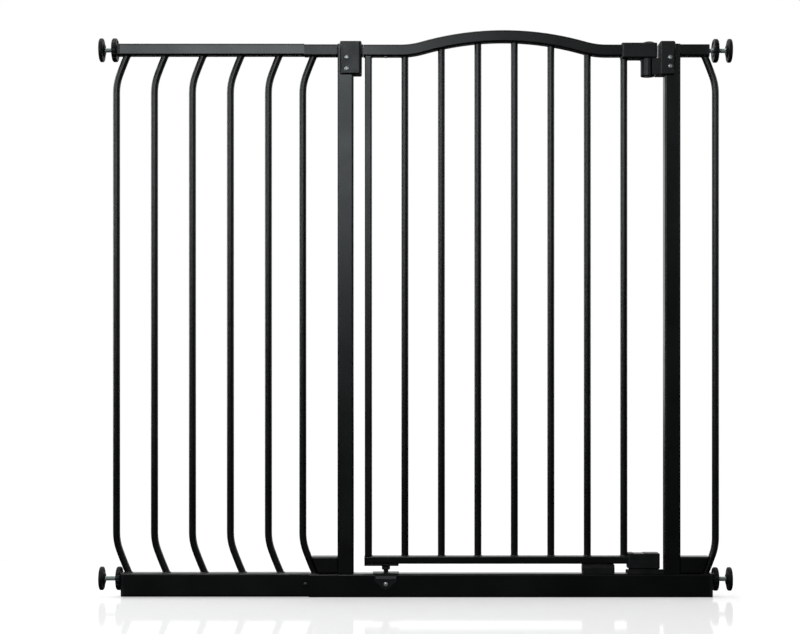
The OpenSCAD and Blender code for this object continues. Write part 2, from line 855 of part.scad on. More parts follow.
// Sweeps a square section along the door's top rail, from its hinge end to its latch end
module along_door_rail() {
    start_l = arch_x - arch_half - top_rail_start;
    translate([arch_x - arch_half, 0, door_rail_z + foot_r]) {
        translate([-start_l, 0, -foot_r]) along_x(start_l) children();
        arc(foot_r, 270, arch_a) children();
        shift(arch_reach * [sin(arch_a), 0, -cos(arch_a)]) {
            arc(crown_r, 90 - arch_a, 2 * arch_a) children();
            shift(arch_reach * [sin(arch_a), 0, cos(arch_a)]) {
                arc(foot_r, 270 - arch_a, arch_a) children();
                translate([0, 0, -foot_r]) along_x(top_rail_stop - arch_x - arch_half) children();
            }
        }
    }
}

// Arched rail. Its rear wall is open at the hinge end, where the arm comes out as the door swings back
module door_top_rail() {
    clear = 1;
    floor_lip = 1.6;
    slot_end = hinge_x + arm_w / 2 + clear;
    slot_foot = door_rail_z - rail_s / 2 + rail_wall + floor_lip;
    slot_top = door_rail_z + rail_s / 2 - rail_wall;
    slot_front = rail_s / 2 - rail_wall - rail_r;
    color(black_steel) difference() {
        along_door_rail() tube_section(rail_s, rail_s, rail_r, rail_wall);
        box([top_rail_start - eps, slot_front, slot_foot], [slot_end, rail_s / 2 + eps, slot_top]);
        translate([hinge_x, 0, door_rail_z - rail_s]) cylinder(d = pin_d, h = 2 * rail_s);
        handle_screw_place() screw_hole(handle_screw_l + eps);
        rail_screw_place() screw_hole(handle_under + rail_wall + eps);
    }
}

module door_stile() {
    length = door_rail_z - rail_s / 2 - door_foot_top;
    color(black_steel) translate([stile_x, 0, door_foot_top]) linear_extrude(length)
        tube_section(stile_w, door_d, door_r, door_wall);
}

// Tube with its hinge end closed and its latch end inside the bottom latch's housing
module door_bottom_rail() {
    length = foot_rail_stop - foot_rail_start;
    color(black_steel) difference() {
        translate([foot_rail_start, 0, door_foot + door_rail_h / 2]) along_x(length)
            rounded_rect(door_d, door_rail_h, door_r);
        translate([foot_rail_start + door_wall, 0, door_foot + door_rail_h / 2]) along_x(length)
            rounded_rect(door_d - 2 * door_wall, door_rail_h - 2 * door_wall, door_r - door_wall / 2);
        translate([hinge_x, 0, door_foot - eps]) cylinder(d = pin_d + 4 * pin_play, h = door_wall + 2 * eps);
        bottom_latch_screw_places() screw_hole(door_foot - housing_foot + door_wall + eps);
    }
}

// Height of the arch's centre line above the rail's ends, at x
function arch_z(x) =
    let (d = abs(x - arch_x))
    d < crown_r * sin(arch_a) ? arch_rise - crown_r + sqrt(pow(crown_r, 2) - pow(d, 2))
    : d < arch_half ? foot_r - sqrt(pow(foot_r, 2) - pow(arch_half - d, 2))
    : 0;

// Round bars from the bottom rail to the curved underside of the arch
module door_bars() {
    last = handle_x + last_bar_in;
    pitch = (last - stile_x) / door_bars;
    color(black_steel) difference() {
        for (i = [1:door_bars]) translate([stile_x + i * pitch, 0, door_foot_top])
            linear_extrude(door_rail_z - door_foot_top + arch_z(stile_x + i * pitch)) round_bar_section();
        along_door_rail() square(rail_s, center = true);
    }
}

// ---- Handle and latch ----

// Runs from the rear into both covers, beside the end of the door's rail
module handle_screw_place() {
    past_rail = 6;
    low = 5.5;
    translate([top_rail_stop + past_rail, handle_d / 2, door_rail_z - low]) face_back() children();
}

// Fixes the front cover to the underside of the door's rail
module rail_screw_place() {
    from_end = 4;
    translate([top_rail_stop - from_end, -rail_s / 4, handle_foot]) face_down() children();
}

// Housing with the leg under its end and a hollowed web in the corner between them
module handle_outline() {
    chamfer = 1;
    web_r = 4;
    web_out = 3;
    web_w = leg_d * 0.6;
    r = leg_d / 2;
    head = leg_l + handle_under;
    union() {
        moulded([handle_x, -handle_d / 2, handle_foot], [door_r_end, handle_d / 2, handle_top], 4, 3, 3);
        translate([leg_x, 0, leg_foot]) rotate_extrude()
            polygon([[0, 0], [r - chamfer, 0], [r, chamfer], [r, head], [0, head]]);
        translate([leg_x - r - web_out, 0, handle_foot]) through_y(-web_w / 2, web_w / 2) difference() {
            translate([0, -web_r]) square([r, web_r + handle_under / 2]);
            translate([0, -web_r]) circle(web_r);
        }
    }
}

// Space inside the handle for the rail, the latch, the leg's pin and the last bar
module handle_space() {
    play = slide_play;
    translate([handle_x - eps, 0, door_rail_z]) along_x(top_rail_stop - handle_x + eps)
        rounded_rect(rail_s, rail_s, rail_r);
    box([tongue_back - play, -tongue_w / 2 - play, tongue_z - play],
        [leg_x + leg_d, tongue_w / 2 + play, tongue_z + tongue_h + play]);
    box([tongue_back - play, -stem_w / 2 - play, tongue_z],
        [tongue_back + stem_w + latch_travel + play, stem_w / 2 + play, handle_top + eps]);
    translate([leg_x, 0, leg_foot - eps]) cylinder(d = leg_pin_d, h = leg_pin_l + eps);
    translate([handle_x + last_bar_in, 0, handle_foot - eps])
        cylinder(d = bar_d + 2 * slide_play, h = handle_under + 2 * eps);
    handle_screw_place() screw_hole(handle_screw_l + eps);
    rail_screw_place() screw_hole(handle_under + rail_wall + eps);
}

// Front half of the housing where side is -1 and rear half where it is 1
module handle_cover(side) {
    front = side < 0 ? -handle_d : 0;
    difference() {
        intersection() {
            handle_outline();
            box([handle_x - eps, front, leg_foot - eps],
                [door_r_end + eps, front + handle_d, handle_top + eps]);
        }
        handle_space();
    }
}

module handle_front_cover() {
    color(black_plastic) handle_cover(-1);
}

module handle_back_cover() {
    color(black_plastic) handle_cover(1);
}

module handle_screws() {
    color(zinc) {
        handle_screw_place() pan_screw(handle_screw_l);
        rail_screw_place() pan_screw(handle_under + rail_wall);
    }
}

module leg_pin() {
    proud = 0.8;
    round_r = 1.2;
    r = leg_pin_d / 2;
    color(zinc) translate([leg_x, 0, leg_foot - proud]) rotate_extrude() polygon([
        [0, 0], [r - round_r, 0], [r, proud], [r, leg_pin_l + proud], [0, leg_pin_l + proud]]);
}

// Sliding bolt: a tongue that enters the keep, on a stem that carries the thumb button
module latch_tongue() {
    inset = 0.2;
    lap = 1;
    color(zinc) {
        moulded([tongue_back, -tongue_w / 2, tongue_z], [tongue_tip, tongue_w / 2, tongue_z + tongue_h],
            1, 1, 0.5);
        box([tongue_back + inset, -stem_w / 2, tongue_z + lap],
            [tongue_back + stem_w, stem_w / 2, handle_top + slide_play]);
    }
}

module thumb_button() {
    dome_r = 24;
    button_x = door_r_end - button_in;
    color(black_plastic) translate([button_x, 0, handle_top + slide_play]) rotate_extrude() intersection() {
        translate([0, button_h - dome_r]) circle(dome_r, $fn = 96);
        square([button_d / 2, button_h]);
    }
}

module keep_screw_places() {
    plate_screw_pair(doorway_r + keep_screw_in, keep_pitch) children();
}

// Keep: a plate on the post, a block beside it and an arm with a notch, open at its top, that the
// tongue slides into. A tab in front of the leg stops the door from swinging forward
module latch_keep() {
    front = -frame_d / 2 - plate_t;
    foot = bracket_top - keep_h;
    arm_up = 1;
    arm_foot = leg_foot + arm_up;
    arm_front = front + 0.5;
    arm_lap = 6;
    tab_l = 7;
    tab_lap = 4;
    tab_gap = 1.2;
    notch_l = keep_x - keep_arm_x;
    color(black_plastic) difference() {
        union() {
            moulded([keep_x, front, foot], [doorway_r + keep_over, keep_back, bracket_top], 4, 5, 2);
            moulded([keep_arm_x, arm_front, arm_foot], [keep_x + arm_lap, keep_back - 0.5, keep_arm_top],
                1, 1, 1);
            moulded([keep_arm_x - tab_l, arm_front, arm_foot],
                [keep_arm_x + tab_lap, -leg_d / 2 - tab_gap, keep_arm_top], 1, 2, 1);
        }
        box([doorway_r, -frame_d / 2, foot - eps], [right_post_out, frame_d, bracket_top + eps]);
        box([keep_arm_x - eps, -tongue_w / 2 - slide_play, tongue_z - slide_play],
            [keep_arm_x + notch_l, tongue_w / 2 + slide_play, keep_arm_top + eps]);
        keep_screw_places() screw_hole(plate_t + frame_wall);
    }
}

module keep_screws() {
    color(zinc) keep_screw_places() pan_screw(plate_t + frame_wall);
}

// ---- Bottom latch ----

// One screw on each side of the drop pin
module bottom_latch_screw_places() {
    hinge_side = -17;
    latch_side = 8;
    for (off = [hinge_side, latch_side])
        translate([drop_pin_x + off, 0, housing_foot]) face_down() children();
}

module bottom_latch_housing() {
    dip = 1;
    dip_l = 18;
    color(black_plastic) difference() {
        moulded([housing_x, -foot_d / 2, housing_foot], [housing_x + foot_l, foot_d / 2, housing_top],
            3, 3, 2);
        translate([housing_x - eps, 0, door_foot + door_rail_h / 2])
            along_x(foot_rail_stop - housing_x + eps) rounded_rect(door_d, door_rail_h, door_r);
        box([drop_pin_x - dip_l, -foot_d, housing_top - dip], [drop_pin_x, foot_d, housing_top + eps]);
        translate([drop_pin_x, 0, housing_foot - eps])
            cylinder(d = drop_pin_d, h = door_foot - housing_foot + 2 * eps);
        bottom_latch_screw_places() screw_hole(door_foot - housing_foot + eps);
    }
}

module drop_pin() {
    chamfer = 0.8;
    r = drop_pin_d / 2;
    length = door_foot - housing_foot + drop_pin_out;
    color(zinc) translate([drop_pin_x, 0, housing_foot - drop_pin_out]) rotate_extrude() polygon([
        [0, 0], [r - chamfer, 0], [r, chamfer], [r, length], [0, length]]);
}

module bottom_latch_screws() {
    color(zinc) bottom_latch_screw_places() pan_screw(door_foot - housing_foot + door_wall);
}

module catch_screw_places() {
    from_start = 10;
    from_end = 12;
    for (x = [catch_x + from_start, catch_x + catch_l - from_end])
        translate([x, 0, base_h + catch_t]) children();
}

// Channel screwed to the base rail: a tall front lip that stops the pin and a low ramp behind it
module base_catch() {
    lip_t = 3;
    ramp = 4.5;
    draft = 1;
    half = frame_d / 2;
    color(black_plastic) difference() {
        translate([catch_x, 0, base_h]) along_x(catch_l) polygon([
            [-half, 0], [-half, catch_t + front_lip_h], [-half + lip_t, catch_t + front_lip_h],
            [-half + lip_t + draft, catch_t], [half - ramp, catch_t],
            [half - ramp + draft, catch_t + rear_lip_h], [half, catch_t], [half, 0]]);
        catch_screw_places() screw_hole(catch_t + eps);
    }
}

module catch_screws() {
    color(zinc) catch_screw_places() pan_screw(catch_t + frame_wall);
}

// Rest under the door's bottom rail, with a ramp at the front and at the back
module door_rest() {
    inset = 0.5;
    half = frame_d / 2 - inset;
    ramp_w = 4;
    ramp_h = 6;
    end_r = 1.5;
    height = door_clear - rest_gap;
    color(black_plastic) intersection() {
        translate([rest_x - rest_l / 2, 0, base_h]) along_x(rest_l) polygon([
            [-half, 0], [-half, height - ramp_h], [-half + ramp_w, height], [half - ramp_w, height],
            [half, height - ramp_h], [half, 0]]);
        translate([rest_x, 0, base_h + height / 2]) through_y(-frame_d, frame_d)
            rounded_rect(rest_l, height, end_r);
    }
}

// ---- Spindles ----

// Puts a child whose Z points at the wall at the corner c, out from the middle of the gate
module at_corner(c, x) {
    translate([x, 0, spindle_z(c)]) rotate([0, c[1] * 90, 0]) children();
}

module wall_pad(c) {
    hub_wall = 4.5;
    hub_r = rod_d / 2 + hub_wall;
    hub_spread = 4;
    rim = 6;
    dish = 0.5;
    r = pad_d / 2;
    lip = 1;
    color(black_rubber) at_corner(c, spindle_x(c)) rotate_extrude() polygon([
        [0, 0], [r - lip, 0], [r, -lip], [r, lip - rim], [r - lip, -rim],
        [hub_r + hub_spread, -rim - dish], [hub_r, -pad_t],
        [rod_d / 2, -pad_t], [rod_d / 2, pad_socket - pad_t], [0, pad_socket - pad_t]]);
}

module spindle_rod(c) {
    chamfer = 0.8;
    r = rod_d / 2;
    color(zinc) at_corner(c, spindle_x(c)) translate([0, 0, pad_socket - pad_t - rod_l]) rotate_extrude()
        polygon([[0, 0], [r - chamfer, 0], [r, chamfer], [r, rod_l], [0, rod_l]]);
}

// Hand nut: a dished wheel with a hub, and finger grooves round its rim
module hand_nut(c) {
    bore_r = rod_d / 2 + rod_play;
    hub_r = rod_d / 2 + 5;
    r = nut_d / 2;
    rim_r = r - 4;
    edge = 1.5;
    dish = 1.5;
    draft = 1;
    groove_r = 2.4;
    color(black_plastic) at_corner(c, cap_face(c) + c[1] * nut_gap(c)) difference() {
        rotate_extrude() polygon([
            [bore_r, 0], [hub_r, 0], [hub_r + draft, dish], [rim_r - draft, dish], [rim_r, 0],
            [r - edge, 0], [r, edge], [r, nut_t - edge], [r - edge, nut_t],
            [rim_r, nut_t], [rim_r - draft, nut_t - dish], [hub_r + draft, nut_t - dish],
            [hub_r, nut_t], [bore_r, nut_t]]);
        for (i = [0:nut_grooves - 1]) rotate(i * 360 / nut_grooves) translate([r + groove_r * 0.6, 0, -eps])
            cylinder(r = groove_r, h = nut_t + 2 * eps, $fn = 24);
    }
}

base_rail();
left_post();
right_post();
left_foot_gusset();
right_foot_gusset();
left_top_stub();
right_top_stub();
left_side_bar();
right_side_bar();
post_caps();
extension_top_rail();
extension_bottom_rail();
extension_bars();
top_joiner();
bottom_joiner();
joiner_screws();
top_end_caps();
bottom_end_caps();
hinge_bracket();
hinge_bracket_screws();
hinge_arm();
hinge_saddle();
hinge_socket();
saddle_screw();
latch_keep();
keep_screws();
base_catch();
catch_screws();
door_rest();
lower_hinge_pin();
upper_hinge_pin();
hinge_plate();
hinge_bush();
door_stile();
door_top_rail();
door_bottom_rail();
door_bars();
handle_front_cover();
handle_back_cover();
handle_screws();
leg_pin();
latch_tongue();
thumb_button();
bottom_latch_housing();
drop_pin();
bottom_latch_screws();
for (c = CORNERS) {
    wall_pad(c);
    spindle_rod(c);
    hand_nut(c);
}
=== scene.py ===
"""Safety gate: finishes, threads, welds, floor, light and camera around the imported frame."""
import json
import math
import random

import bpy
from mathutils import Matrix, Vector


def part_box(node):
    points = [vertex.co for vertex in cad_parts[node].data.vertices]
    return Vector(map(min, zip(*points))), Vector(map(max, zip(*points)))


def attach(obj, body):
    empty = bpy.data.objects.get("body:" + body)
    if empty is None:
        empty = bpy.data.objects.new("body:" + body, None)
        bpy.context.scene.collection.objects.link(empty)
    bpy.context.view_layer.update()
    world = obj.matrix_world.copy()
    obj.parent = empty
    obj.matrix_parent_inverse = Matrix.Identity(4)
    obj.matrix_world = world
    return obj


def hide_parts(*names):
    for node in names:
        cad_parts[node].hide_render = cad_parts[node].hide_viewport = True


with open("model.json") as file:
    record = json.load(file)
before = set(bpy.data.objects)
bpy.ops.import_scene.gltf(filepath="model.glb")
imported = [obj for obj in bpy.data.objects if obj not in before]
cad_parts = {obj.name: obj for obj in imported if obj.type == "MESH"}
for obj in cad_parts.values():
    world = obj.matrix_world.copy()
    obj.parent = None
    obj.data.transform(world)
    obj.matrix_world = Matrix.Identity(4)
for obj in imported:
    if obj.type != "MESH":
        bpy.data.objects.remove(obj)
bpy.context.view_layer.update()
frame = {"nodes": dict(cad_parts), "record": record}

MM = 0.001
CORNERS = ("upper_left", "lower_left", "upper_right", "lower_right")
NODES = frame["nodes"]
SLOT_OF = {row["node"]: row["material_slot"] for row in frame["record"]["subparts"]}
BODY_OF = {
    node: body
    for body, names in frame["record"]["behaviour"]["bodies"].items()
    for node in names
}


# ---- Node helpers ----


def put(tree, kind, inputs=None, **settings):
    """Adds a node; an input is a plain value or the socket that feeds it."""
    made = tree.nodes.new(kind)
    for name, value in settings.items():
        setattr(made, name, value)
    for name, value in (inputs or {}).items():
        if isinstance(value, bpy.types.NodeSocket):
            tree.links.new(value, made.inputs[name])
        else:
            made.inputs[name].default_value = value
    return made


def effect(name, inputs, outputs):
    """An empty shader node group with float inputs and outputs, and its two end nodes."""
    group = bpy.data.node_groups.new(name, "ShaderNodeTree")
    for label, value in inputs.items():
        socket = group.interface.new_socket(label, in_out="INPUT", socket_type="NodeSocketFloat")
        socket.default_value = value
    for label in outputs:
        group.interface.new_socket(label, in_out="OUTPUT", socket_type="NodeSocketFloat")
    return group, group.nodes.new("NodeGroupInput"), group.nodes.new("NodeGroupOutput")


def place(tree, group, **values):
    """Puts a shared effect into a material, with that material's own values."""
    made = tree.nodes.new("ShaderNodeGroup")
    made.node_tree = group
    for label, value in values.items():
        made.inputs[label.replace("_", " ")].default_value = value
    return made


def on_object(tree):
    """Coordinates that stay with the object, in metres."""
    return put(tree, "ShaderNodeTexCoord").outputs["Object"]


def noise(tree, where, scale, detail=2.0, roughness=0.5):
    made = put(tree, "ShaderNodeTexNoise", {
        "Vector": where, "Scale": scale, "Detail": detail, "Roughness": roughness})
    return made.outputs["Fac"]


def between(tree, value, low, high, out_low=0.0, out_high=1.0):
    """Takes the stretch from low to high of a value to out_low to out_high."""
    made = put(tree, "ShaderNodeMapRange", {
        "Value": value, "From Min": low, "From Max": high, "To Min": out_low, "To Max": out_high})
    return made.outputs["Result"]


def combine(tree, operation, first, second):
    """One value from two, by a plain sum, product or maximum."""
    return put(tree, "ShaderNodeMath", {0: first, 1: second}, operation=operation).outputs[0]


def grey(level):
    return (level, level, level, 1.0)


# ---- Shared effects ----


def coat_grain():
    """Orange peel of a baked powder coat, and its slow clouding."""
    group, start, end = effect(
        "Powder coat grain", {"Peel Scale": 520.0, "Cloud Scale": 9.0}, ["Height", "Cloud"])
    where = on_object(group)
    peel = noise(group, where, start.outputs["Peel Scale"], detail=2.0, roughness=0.45)
    cloud = noise(group, where, start.outputs["Cloud Scale"], detail=3.0, roughness=0.6)
    group.links.new(peel, end.inputs["Height"])
    group.links.new(between(group, cloud, low=0.3, high=0.7), end.inputs["Cloud"])
    return group


def mould_grain():
    """Spark-eroded texture of a moulding, and the slow mottle of its gloss."""
    group, start, end = effect(
        "Moulded grain", {"Grain Scale": 1500.0, "Mottle Scale": 45.0}, ["Height", "Mottle"])
    where = on_object(group)
    grain = noise(group, where, start.outputs["Grain Scale"], detail=3.0, roughness=0.6)
    mottle = noise(group, where, start.outputs["Mottle Scale"])
    group.links.new(grain, end.inputs["Height"])
    group.links.new(between(group, mottle, low=0.3, high=0.7), end.inputs["Mottle"])
    return group


def scuff_marks():
    """Fine scratches that run mostly one way, broken up into patches."""
    group, start, end = effect("Scuffs", {"Scale": 60.0, "Amount": 0.5}, ["Mask"])
    where = on_object(group)
    stretched = put(group, "ShaderNodeMapping", {
        "Vector": where, "Rotation": (0.3, 0.5, 0.2), "Scale": (1.0, 9.0, 14.0)})
    lines = noise(group, stretched.outputs["Vector"], start.outputs["Scale"],
                  detail=4.0, roughness=0.7)
    patches = noise(group, where, scale=22.0)
    thin = between(group, lines, low=0.60, high=0.66)
    area = between(group, patches, low=0.52, high=0.66)
    both = combine(group, "MULTIPLY", thin, area)
    group.links.new(combine(group, "MULTIPLY", both, start.outputs["Amount"]), end.inputs["Mask"])
    return group


COAT, MOULD, SCUFF = coat_grain(), mould_grain(), scuff_marks()


# ---- Finishes ----


def finish_material(name):
    material = bpy.data.materials.new(name)
    material.use_nodes = True
    tree = material.node_tree
    return material, tree, tree.nodes["Principled BSDF"]


def mixed(tree, mask, first, second):
    """A colour that goes from the first to the second with the mask; a colour may be a socket."""
    made = put(tree, "ShaderNodeMix", {"Factor": mask, "A": first, "B": second}, data_type="RGBA")
    return made.outputs["Result"]


def two_tone(tree, mask, dark, light):
    return mixed(tree, mask, (*dark, 1.0), (*light, 1.0))


def bumped(tree, height, strength, depth):
    """The normal of a relief so many metres deep."""
    made = put(tree, "ShaderNodeBump", {"Height": height, "Strength": strength, "Distance": depth})
    return made.outputs["Normal"]


def dress(tree, shader, colour, roughness, normal):
    """Feeds a finish's colour, roughness and relief to its shader."""
    for label, source in (("Base Color", colour), ("Roughness", roughness), ("Normal", normal)):
        tree.links.new(source, shader.inputs[label])


def powder_coat(name, dark, light, rough, peel=520.0, depth=0.000012):
    """Satin black powder coat on steel; peel and depth are its orange peel's scale and height."""
    material, tree, shader = finish_material(name)
    grain = place(tree, COAT, Peel_Scale=peel, Cloud_Scale=9.0)
    scuffs = place(tree, SCUFF, Scale=60.0, Amount=0.5)
    tone, scratched = two_tone(tree, grain.outputs["Cloud"], dark, light), grey(0.022)
    dress(tree, shader,
          colour=mixed(tree, scuffs.outputs["Mask"], tone, scratched),
          roughness=between(tree, grain.outputs["Cloud"], 0.0, 1.0, *rough),
          normal=bumped(tree, grain.outputs["Height"], strength=0.25, depth=depth))
    return material


def moulding(name, dark, light, rough, grain_scale=1500.0, depth=0.00006, sheen=0.5):
    """Black moulded plastic or rubber; a lower sheen is a duller compound."""
    material, tree, shader = finish_material(name)
    shader.inputs["Specular IOR Level"].default_value = sheen
    grain = place(tree, MOULD, Grain_Scale=grain_scale, Mottle_Scale=45.0)
    scuffs = place(tree, SCUFF, Scale=90.0, Amount=0.35)
    tone, scratched = two_tone(tree, grain.outputs["Mottle"], dark, light), grey(0.025)
    dress(tree, shader,
          colour=mixed(tree, scuffs.outputs["Mask"], tone, scratched),
          roughness=between(tree, grain.outputs["Mottle"], 0.0, 1.0, *rough),
          normal=bumped(tree, grain.outputs["Height"], strength=0.35, depth=depth))
    return material


def plated(name, dark, light, rough, metal=1.0):
    """Zinc-plated steel, with its faint bloom and fine marks; a dull plate is less of a mirror."""
    material, tree, shader = finish_material(name)
    shader.inputs["Metallic"].default_value = metal
    grain = place(tree, COAT, Peel_Scale=900.0, Cloud_Scale=70.0)
    scuffs = place(tree, SCUFF, Scale=240.0, Amount=0.6)
    bloom = between(tree, grain.outputs["Cloud"], 0.0, 1.0, *rough)
    dress(tree, shader,
          colour=two_tone(tree, grain.outputs["Cloud"], dark, light),
          roughness=combine(tree, "ADD", bloom, scuffs.outputs["Mask"]),
          normal=bumped(tree, grain.outputs["Height"], strength=0.12, depth=0.00004))
    return material


# Each finish: its name, its two tones and the range of its roughness
FINISHES = {
    "black_steel": powder_coat(
        "Black powder coat", (0.0010, 0.0014, 0.0013), (0.0022, 0.0026, 0.0025), (0.27, 0.35)),
    "black_plastic": moulding(
        "Black moulding", (0.0024, 0.0028, 0.0028), (0.0042, 0.0046, 0.0047), (0.38, 0.48)),
    "nylon": moulding(
        "Dark nylon", (0.010, 0.010, 0.011), (0.016, 0.016, 0.017), (0.30, 0.40),
        grain_scale=900.0, depth=0.00003),
    "pad_rubber": moulding(
        "Pad rubber", (0.003, 0.003, 0.003), (0.006, 0.006, 0.006), (0.50, 0.62),
        grain_scale=1100.0, depth=0.00008, sheen=0.25),
    "bright_screw": plated(
        "Bright zinc", (0.44, 0.46, 0.47), (0.60, 0.62, 0.62), (0.26, 0.38), metal=0.7),
    "dark_screw": plated(
        "Blackened steel", (0.05, 0.05, 0.05), (0.08, 0.08, 0.08), (0.32, 0.45)),
    "zinc_steel": plated(
        "Dull zinc", (0.42, 0.43, 0.43), (0.55, 0.56, 0.56), (0.32, 0.45)),
    "rod_steel": plated(
        "Rolled thread zinc", (0.36, 0.42, 0.41), (0.50, 0.56, 0.55), (0.36, 0.48), metal=0.45),
}
NUT_MOULDING = moulding(
    "Nut moulding", (0.0020, 0.0023, 0.0023), (0.0036, 0.0040, 0.0040), (0.40, 0.50), sheen=0.3)
# The bars' coat has tones painted lighter than the frame's black coat, as painted light that
# brightens the round bars
BAR_COAT_PAINTED_LIGHTER = powder_coat(
    "Bar coat painted lighter", (0.0014, 0.0018, 0.0017), (0.0028, 0.0032, 0.0031), (0.26, 0.33),
    peel=700.0, depth=0.000008)

# Nodes whose finish differs from that of their slot
NODE_FINISHES = {
    # The extension rail's tones are painted light: lighter than the frame's black coat, to stand in
    # for the light that falls on its front
    "extension_top_rail": powder_coat(
        "Extension coat painted lighter", (0.0012, 0.0016, 0.0015), (0.0024, 0.0028, 0.0027), (0.22, 0.30)),
    "left_top_stub": powder_coat(
        "Stub coat", (0.0010, 0.0014, 0.0013), (0.0022, 0.0026, 0.0025), (0.33, 0.40)),
    "leg_pin": plated(
        "Pin zinc", (0.52, 0.54, 0.54), (0.66, 0.68, 0.68), (0.34, 0.46), metal=0.25),
    "extension_bars": BAR_COAT_PAINTED_LIGHTER,
    "left_side_bar": BAR_COAT_PAINTED_LIGHTER,
    "right_side_bar": BAR_COAT_PAINTED_LIGHTER,
    "door_bars": BAR_COAT_PAINTED_LIGHTER,
    **{"hand_nut_" + corner: NUT_MOULDING for corner in CORNERS},
}

for node_name, cad in NODES.items():
    finish = NODE_FINISHES.get(node_name) or FINISHES[SLOT_OF[node_name]]
    if cad.material_slots:
        for held in cad.material_slots:
            held.material = finish
    else:
        cad.data.materials.append(finish)


# ---- Pieces ----


def make_piece(name, verts, faces, body, slot_name, smooth=True):
    """A mesh that rides on a body and takes the finish of a slot."""
    mesh = bpy.data.meshes.new(name)
    mesh.from_pydata([tuple(v) for v in verts], [], faces)
    mesh.validate()
    for face in mesh.polygons:
        face.use_smooth = smooth
    piece = bpy.data.objects.new(name, mesh)
    bpy.context.scene.collection.objects.link(piece)
    mesh.materials.append(FINISHES[slot_name])
    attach(piece, body)
    return piece


def tube_faces(sides, rings, base=0, first=0):
    """Walls and end caps over rings + 1 loops of points; first is the corner a quad starts at."""
    faces = []
    for ring in range(rings):
        near, far = base + ring * sides, base + (ring + 1) * sides
        for j in range(sides):
            k = (j + 1) % sides
            quad = (near + j, near + k, far + k, far + j)
            faces.append(quad[first:] + quad[:first])
    last = base + rings * sides
    faces.append(tuple(range(base, base + sides))[::-1])
    faces.append(tuple(range(last, last + sides)))
    return faces


THREAD_PITCH = 1.25 * MM
THREAD_DEPTH = 0.62 * MM
THREAD_CHAMFER = 0.9 * MM
THREAD_SIDES = 32
STEPS_PER_TURN = 5
# The profile is a triangle wave, scaled up and sunk by these, then cut off flat at crest and root
FLANK_CLIMB, FLANK_ROOT = 1.55, 0.25


def threaded_rod(node_name):
    """A rolled thread in place of a plain rod, chamfered at both ends."""
    low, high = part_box(node_name)
    centre = (low + high) / 2
    crest = (high.z - low.z) / 2
    length = high.x - low.x
    rings = int(length / (THREAD_PITCH / STEPS_PER_TURN))
    verts = []
    for i in range(rings + 1):
        along = length * i / rings
        near_end = min(along, length - along)
        for j in range(THREAD_SIDES):
            turn = j / THREAD_SIDES
            phase = (along / THREAD_PITCH - turn) % 1.0
            climb = FLANK_CLIMB * (1.0 - abs(2.0 * phase - 1.0)) - FLANK_ROOT
            flank = min(1.0, max(0.0, climb))
            r = crest - THREAD_DEPTH * (1.0 - flank)
            r = min(r, crest - THREAD_CHAMFER + near_end)
            angle = 2 * math.pi * turn
            verts.append((low.x + along,
                          centre.y + r * math.cos(angle), centre.z + r * math.sin(angle)))
    faces = tube_faces(THREAD_SIDES, rings, first=1)
    name = node_name.replace("spindle_rod", "threaded_rod")
    piece = make_piece(name, verts, faces, BODY_OF[node_name], "rod_steel")
    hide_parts(node_name)


for corner in CORNERS:
    threaded_rod("spindle_rod_" + corner)


# Cross-section of a weld fillet: how far out from the bar and how far along it, in millimetres
FILLET = ((-0.3, -0.3), (1.5, -0.3), (1.25, 0.45), (0.6, 1.1), (-0.3, 1.5))
FILLET_SIDES = 36
# A fillet swells and thins round the bar in two waves: lobes in a turn, and how much
SLOW_SWELL, QUICK_SWELL = (5, 0.16), (13, 0.07)
SWELL_START = 6.28  # the waves' start is drawn from 0 to this, in radians
BAR_GAP = 15 * MM  # points further apart than this belong to different bars
LEVEL = 0.01 * MM  # points this close in height lie on the same flat end
RIM = 1 * MM  # how far below a slanted end its rim's points are looked for
CLIMBS, HANGS = 1, -1


def bar_by_bar(points):
    """The points in order along the gate, in one group for each bar."""
    points = sorted(points, key=lambda c: c.x)
    groups = [[points[0]]]
    for c in points[1:]:
        if c.x - groups[-1][-1].x > BAR_GAP:
            groups.append([])
        groups[-1].append(c)
    return groups


def bar_ends(node_name, top):
    """Each bar's flat end as (middle, half width, half depth, slope across it), from the mesh."""
    points = [v.co.copy() for v in NODES[node_name].data.vertices]
    level = max(c.z for c in points) if top else min(c.z for c in points)
    found = []
    for g in bar_by_bar([c for c in points if abs(c.z - level) < LEVEL]):
        x0, x1 = g[0].x, g[-1].x
        found.append((Vector(((x0 + x1) / 2, 0, level)), (x1 - x0) / 2, max(c.y for c in g), 0.0))
    return found


def arch_ends(node_name):
    """The same for the tops of upright bars under a curved rail, with the rail's slope there."""
    found = []
    for g in bar_by_bar([v.co.copy() for v in NODES[node_name].data.vertices]):
        middle = (min(c.z for c in g) + max(c.z for c in g)) / 2
        upper = [c for c in g if c.z > middle]
        left = min(upper, key=lambda c: (round(c.x, 5), -c.z))
        right = max(upper, key=lambda c: (round(c.x, 5), c.z))
        rim = [c for c in upper if c.z > min(left.z, right.z) - RIM]
        found.append((Vector(((left.x + right.x) / 2, 0, (left.z + right.z) / 2)),
                      (right.x - left.x) / 2,
                      max(c.y for c in rim),
                      (right.z - left.z) / (right.x - left.x)))
    return found


